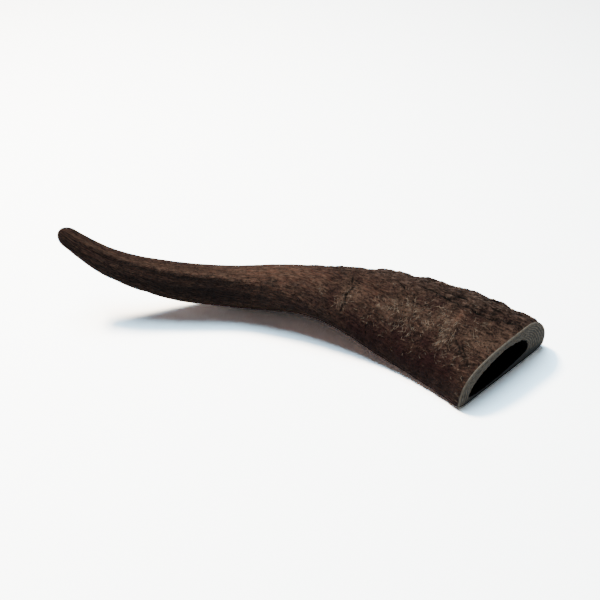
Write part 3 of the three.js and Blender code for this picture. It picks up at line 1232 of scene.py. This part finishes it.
    def zones(self, place: Array, degrees: Array, rows: Array, shade_painted_crack: Array, depth: Array) -> Array:
        """Colour guide: tan, rust and painted shade in cracks outside; growth lines, the rim's painted
        highlight and the lower part's painted shade on the sawn face.

        Args:
            place: places along the horn.
            degrees: angles round it.
            rows: the row of each point.
            shade_painted_crack: how much painted shade each point gets in cracks, gaps and pits.
            depth: how far each point of the sawn face is from its outer edge, in millimetres.

        Returns:
            Three numbers for each point.
        """
        tan, rust = cover(self.tan, place, degrees), cover(self.rust, place, degrees)
        outside = np.stack([tan, rust, shade_painted_crack], axis=1)
        over = (rows - self.outside_rows) / self.edge_rows
        # The rim's guide covers only the upper half of the edge, partly as a painted highlight.
        rim = bell(depth, 0.1) * rise(over, 0.3, 0.8) * rise(np.sin(np.radians(degrees - 8.0)), 0.0, 0.3)
        # Painted shade on the lower half of the sawn face.
        low = rise(-np.sin(np.radians(degrees)), 0.1, 0.7)
        sawn = np.stack([depth, rim, low], axis=1)
        return np.where(rows[:, None] > self.outside_rows, sawn, outside)

    def shades(self, place: Array, degrees: Array) -> Array:
        """Colour guide: maroon, rough keel and pale flecks."""
        maroon, pale = cover(self.maroon, place, degrees), cover(self.pale, place, degrees)
        return np.stack([maroon, self.shape.weather.keel_share(place, degrees), pale], axis=1)

    def ridge_shade_and_highlight(self, place: Array, degrees: Array) -> Array:
        """Colour guide: painted shade under the ridge and a painted highlight along its top."""
        painted_ridge_shade, painted_ridge_highlight = self.shape.weather.under_ridge(place, degrees)
        return np.stack([painted_ridge_shade, painted_ridge_highlight, np.zeros_like(painted_ridge_shade)], axis=1)

    def build(self) -> bpy.types.Object:
        """Builds the sheath's object.

        Returns:
            The new object.
        """
        horn = self.blank()
        turned = np.array([vert.co[:] for vert in horn.verts])
        rows = turned[:, 2]
        degrees = self.shape.even_round(np.degrees(np.arctan2(turned[:, 1], turned[:, 0])) % 360.0 / 360.0)
        for face in horn.faces:
            face.smooth = True
            face.material_index = self.skin_of(face.calc_center_median().z).value
        points, guides = self.bend(rows, degrees)
        names = ("grain", "zones", "shades", "ridge_shade_and_highlight")
        layers = [horn.verts.layers.float_vector.new(name) for name in names]
        for vert, point, *values in zip(horn.verts, points.tolist(), *(guide.tolist() for guide in guides)):
            vert.co = point
            for layer, value in zip(layers, values):
                vert[layer] = value
        last = rows.max() - 0.5
        poles = [vert for vert, row in zip(horn.verts, rows.tolist()) if row < 0.5 or row > last]
        bmesh.ops.remove_doubles(horn, verts=poles, dist=1e-6)
        bmesh.ops.recalc_face_normals(horn, faces=horn.faces)
        return finished(horn, "horn_skin")

    def dress(self, piece: bpy.types.Object) -> None:
        """Puts the three finishes on the sheath and ties it to the frame.

        Args:
            piece: the sheath's object.
        """
        for finish in (SheathFinish(), SawnFinish(), HollowFinish()):
            piece.data.materials.append(finish.material())
        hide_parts("horn")
        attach(piece, "root")


@dataclass(frozen=True)
class Tuft:
    """A patch of frayed fibres.

    Attributes:
        at: place along the horn.
        angle: degrees round it.
        reach: how far along the horn the fibres lie.
        spread: how far round it, in degrees.
        count: how many there are.
        lean: their usual direction, in degrees off the horn's length.
        length: their usual length in millimetres.
    """

    at: float
    angle: float
    reach: float
    spread: float
    count: int
    lean: float
    length: float


def tufts(*rows: tuple[float, float, float, float, int, float, float]) -> tuple[Tuft, ...]:
    """Tufts, from their rows of seven numbers."""
    return tuple(Tuft(*row) for row in rows)


@dataclass
class FrayedFibres:
    """Short fibres that have worked loose from the scuffed horn and lie on it.

    Attributes:
        shape: the horn's form.
        tufts: where the fibres are.
        thickness: their radius in millimetres.
        lift: how far their loose ends stand off, in millimetres.
        cuts: how many stops each has between its ends.
        seed: fixes where they fall.
    """

    shape: HornShape
    tufts: tuple[Tuft, ...] = tufts(
        (0.102, 126, 0.008, 5, 16, 62, 4.4), (0.106, 119, 0.012, 6, 24, 75, 3.6),
        (0.116, 113, 0.016, 7, 26, 60, 3.0), (0.137, 111, 0.016, 7, 26, 35, 2.6),
        (0.155, 121, 0.014, 6, 22, -30, 2.6), (0.18, 116, 0.026, 10, 34, 20, 2.4),
        (0.217, 118, 0.018, 8, 36, -40, 2.4), (0.245, 118, 0.02, 9, 32, 30, 2.4),
        (0.27, 127, 0.022, 10, 26, -20, 2.4), (0.2, 130, 0.05, 10, 36, 55, 2.2),
        (0.008, 166, 0.005, 8, 16, 10, 2.0), (0.3, 135, 0.03, 16, 14, 50, 1.8),
        (0.35, 128, 0.016, 12, 20, 80, 2.0), (0.37, 148, 0.012, 10, 16, 85, 2.2),
        (0.412, 138, 0.01, 14, 12, 80, 2.0), (0.25, 104, 0.07, 12, 24, 10, 1.8),
        (0.14, 100, 0.06, 10, 22, 15, 1.8), (0.06, 112, 0.04, 12, 22, 10, 2.4),
        (0.03, 132, 0.026, 12, 18, 8, 4.2), (0.08, 138, 0.04, 12, 16, -35, 1.8),
        (0.16, 142, 0.04, 14, 16, 40, 1.7), (0.24, 146, 0.04, 16, 16, -50, 1.7),
        (0.051, 103, 0.003, 1, 3, 12, 2.2), (0.1, 70, 0.06, 24, 24, 20, 2.2),
        (0.22, 50, 0.08, 34, 24, 15, 2.2),
    )
    thickness: float = 0.1
    lift: float = 0.2
    cuts: int = 4
    seed: int = 12

    def surface(self, place: Array, degrees: Array) -> tuple[Array, Array]:
        """Points of the outside and unit directions out of it, in metres.

        Args:
            place: places along the horn.
            degrees: angles round it.

        Returns:
            The points and the directions, one in each row.
        """
        zero = np.zeros_like(place)
        here, _ = self.shape.outside(place, degrees, zero, zero)
        ahead, _ = self.shape.outside(place + 0.002, degrees, zero, zero)
        round_it, _ = self.shape.outside(place, degrees + 0.8, zero, zero)
        out = np.cross(round_it - here, here - ahead)
        return here, out / np.linalg.norm(out, axis=1, keepdims=True)

    def track(self, tuft: Tuft, dice: random.Random) -> tuple[Array, Array, Array]:
        """The line that one fibre follows over the horn.

        Args:
            tuft: the patch that it belongs to.
            dice: the source of chance.

        Returns:
            Places along the horn, angles round it, and how far the fibre stands off, in metres.
        """
        length = tuft.length * dice.uniform(0.55, 1.35)
        curl = dice.uniform(-1.4, 1.4)
        place = tuft.at + dice.gauss(0.0, 0.6) * tuft.reach
        degrees = tuft.angle + dice.gauss(0.0, 0.6) * tuft.spread
        girth = float(smooth_line(self.shape.breadth, np.array([place]))[0]) * math.radians(1.0) * 0.5
        way = np.linspace(0.0, 1.0, self.cuts + 2)
        heading = math.radians(tuft.lean + dice.gauss(0.0, 34.0)) + curl * (way - 0.5)
        step = length / (self.cuts + 1)
        along = np.cumsum(np.cos(heading)) * step / self.shape.spine.length
        around = np.cumsum(np.sin(heading)) * step / girth
        standing = (dice.uniform(0.15, 1.0) * self.lift * way**2 - 0.02) * MM
        return np.clip(place + along, 0.004, 0.98), degrees + around, standing

    def straight(self) -> bpy.types.Mesh:
        """A straight fibre, whose height counts its stops.

        Returns:
            The fibre's mesh.
        """
        fibre = bmesh.new()
        wide, thin, stops = self.thickness * MM, self.thickness * 0.35 * MM, self.cuts + 1
        bmesh.ops.create_cone(
            fibre, cap_ends=True, segments=5, radius1=wide, radius2=thin, depth=float(stops)
        )
        sides = [edge for edge in fibre.edges if edge.calc_length() > 1.0]
        bmesh.ops.subdivide_edges(fibre, edges=sides, cuts=self.cuts)
        bmesh.ops.translate(fibre, verts=fibre.verts, vec=(0.0, 0.0, stops / 2))
        mesh = bpy.data.meshes.new("fibre")
        fibre.to_mesh(mesh)
        fibre.free()
        return mesh

    def build(self) -> bpy.types.Object:
        """Builds all fibres as one object.

        Returns:
            The new object.
        """
        dice = random.Random(self.seed)
        tracks = [self.track(tuft, dice) for tuft in self.tufts for _ in range(tuft.count)]
        place, degrees, standing = (np.concatenate(column) for column in zip(*tracks))
        points, out = self.surface(place, degrees)
        lines = (points + out * standing[:, None]).reshape(len(tracks), -1, 3)
        ups = out.reshape(lines.shape)
        aheads = np.gradient(lines, axis=1)
        aheads /= np.linalg.norm(aheads, axis=2, keepdims=True)
        acrosses = np.cross(aheads, ups)
        acrosses /= np.linalg.norm(acrosses, axis=2, keepdims=True)

        straight = self.straight()
        own = np.array([vert.co[:] for vert in straight.vertices])
        stops = np.rint(own[:, 2]).astype(int)
        fray = bmesh.new()
        for _ in tracks:
            fray.from_mesh(straight)
        bpy.data.meshes.remove(straight)
        spots = lines[:, stops] + acrosses[:, stops] * own[:, :1] + ups[:, stops] * own[:, 1:2]
        for vert, spot in zip(fray.verts, spots.reshape(-1, 3).tolist()):
            vert.co = spot
        bmesh.ops.recalc_face_normals(fray, faces=fray.faces)
        for face in fray.faces:
            face.smooth = True
        return finished(fray, "frayed_fibres")

    def dress(self, piece: bpy.types.Object) -> None:
        """Puts the finish on the fibres and ties them to the frame.

        Args:
            piece: the fibres' object.
        """
        piece.data.materials.append(FrayFinish().material())
        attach(piece, "root")


@dataclass(frozen=True)
class Lamp:
    """A soft square light that looks at the horn.

    Attributes:
        name: its name.
        towards: its direction as the camera sees it: right, away and up.
        far: its distance in metres.
        size: its side in metres.
        power: its power in watts.
        colour: its colour.
    """

    name: str
    towards: tuple[float, float, float]
    far: float
    size: float
    power: float
    colour: tuple[float, float, float]


@dataclass
class Studio:
    """Pale floor, soft light and camera.

    Attributes:
        floor_size: side of the floor in metres.
        turn: degrees from the camera's left-right to the part's X.
        height_angle: how far the camera looks down, in degrees.
        distance: how far the camera is from the point that it looks at.
        field_of_view: the camera's angle of view in degrees.
        aim: the point that the camera looks at, from the middle of the sawn face, in millimetres.
        lamps: the lights.
        sheet_bounce: the floor's colour as the light meets it.
        sheet_seen: the floor's overexposed colour.
        sky: the sky's colour.
        sky_strengths: how strong the sky is as light, and as it is seen.
    """

    floor_size: float = 8.0
    turn: float = 50.0
    height_angle: float = 43.0
    distance: float = 0.345
    field_of_view: float = 45.0
    aim: tuple[float, float, float] = (-93.2, -33.0, -0.77)
    lamps: tuple[Lamp, ...] = (
        Lamp("key", (-0.46, 0.22, 1.0), 0.8, 0.12, 4.1, (1.0, 0.8, 0.58)),
        Lamp("window", (-0.2, 0.12, 1.0), 0.8, 0.42, 3.2, (0.5, 0.79, 1.0)),
        Lamp("side", (0.9, -0.45, 0.12), 0.9, 0.18, 0.28, (0.86, 0.94, 1.0)),
    )
    sheet_bounce: Colour = (0.6, 0.64, 0.68, 1.0)
    sheet_seen: Colour = (11.0, 11.0, 11.1, 1.0)
    sky: Colour = (0.95, 0.97, 1.0, 1.0)
    sky_strengths: tuple[float, float] = (0.012, 7.0)

    def direction(self, right: float, away: float, up: float) -> Vector:
        """A direction given as the camera sees it, in the part's frame.

        Args:
            right: how far to the right.
            away: how far away.
            up: how far up.

        Returns:
            The direction.
        """
        turn = math.radians(self.turn)
        across = right * math.cos(turn) - away * math.sin(turn)
        return Vector((across, right * math.sin(turn) + away * math.cos(turn), up))

    def floor(self) -> bpy.types.Object:
        """Builds the floor.

        Returns:
            The floor's object.
        """
        plane = bmesh.new()
        bmesh.ops.create_grid(plane, x_segments=1, y_segments=1, size=self.floor_size / 2)
        made = finished(plane, "floor")
        made.data.materials.append(self.floor_finish())
        return made

    def floor_finish(self) -> bpy.types.Material:
        """A white sheet that the lights overexpose.

        Returns:
            The new material.
        """
        made, graph = new_material("white_sheet")
        bounce = graph.add("ShaderNodeBsdfDiffuse", {"Color": self.sheet_bounce})
        seen = graph.add("ShaderNodeBsdfDiffuse", {"Color": self.sheet_seen})
        path = graph.add("ShaderNodeLightPath").outputs["Is Camera Ray"]
        shader = graph.add("ShaderNodeMixShader", {0: path, 1: bounce.outputs[0], 2: seen.outputs[0]})
        graph.add("ShaderNodeOutputMaterial", {"Surface": shader.outputs[0]})
        return made

    def light(self, lamp: Lamp) -> None:
        """Adds a light.

        Args:
            lamp: which light it is.
        """
        towards = self.direction(*lamp.towards)
        area = bpy.data.lights.new(lamp.name, "AREA")
        area.shape = "SQUARE"
        area.size = lamp.size
        area.energy = lamp.power
        area.color = lamp.colour
        made = bpy.data.objects.new(lamp.name, area)
        made.location = towards.normalized() * lamp.far
        made.rotation_euler = towards.to_track_quat("Z", "Y").to_euler()
        bpy.context.scene.collection.objects.link(made)

    def lights(self) -> None:
        """Sets the lights and the soft sky."""
        for lamp in self.lamps:
            self.light(lamp)
        world = bpy.data.worlds.new("soft_sky")
        world.use_nodes = True
        graph = Graph(world.node_tree)
        path = graph.add("ShaderNodeLightPath").outputs["Is Camera Ray"]
        strength = graph.blend(path, *self.sky_strengths)
        sky = graph.add("ShaderNodeBackground", {"Color": self.sky, "Strength": strength})
        graph.add("ShaderNodeOutputWorld", {"Surface": sky.outputs[0]})
        bpy.context.scene.world = world

    def camera(self, foot: Sequence[float]) -> None:
        """Places the camera at the photograph's angle.

        Args:
            foot: where the middle of the sawn face stands from the part's origin, in millimetres.
        """
        lens = bpy.data.cameras.new("camera")
        lens.sensor_fit = "HORIZONTAL"
        lens.angle = math.radians(self.field_of_view)
        lens.clip_start = 0.01
        lens.clip_end = 50.0
        made = bpy.data.objects.new("camera", lens)
        height = math.radians(self.height_angle)
        aim = (Vector(self.aim) + Vector((foot[0], foot[1], 0.0))) * MM
        made.location = aim + self.direction(0.0, -math.cos(height), math.sin(height)) * self.distance
        made.rotation_euler = Euler((math.pi / 2 - height, 0.0, math.radians(self.turn)))
        bpy.context.scene.collection.objects.link(made)
        bpy.context.scene.camera = made


def main() -> None:
    """Builds the horn and its fibres, then the studio round them."""
    logging.basicConfig(level=logging.INFO, format="%(name)s: %(message)s")
    sheath = Sheath()
    makers: tuple[Sheath | FrayedFibres, ...] = (sheath, FrayedFibres(sheath.shape))
    for maker in makers:
        piece = maker.build()
        maker.dress(piece)
        LOG.info("%s has %d faces", piece.name, len(piece.data.polygons))
    studio = Studio()
    studio.floor()
    studio.lights()
    studio.camera(sheath.shape.foot)
    LOG.info("studio is set")


if __name__ == "__main__":
    main()
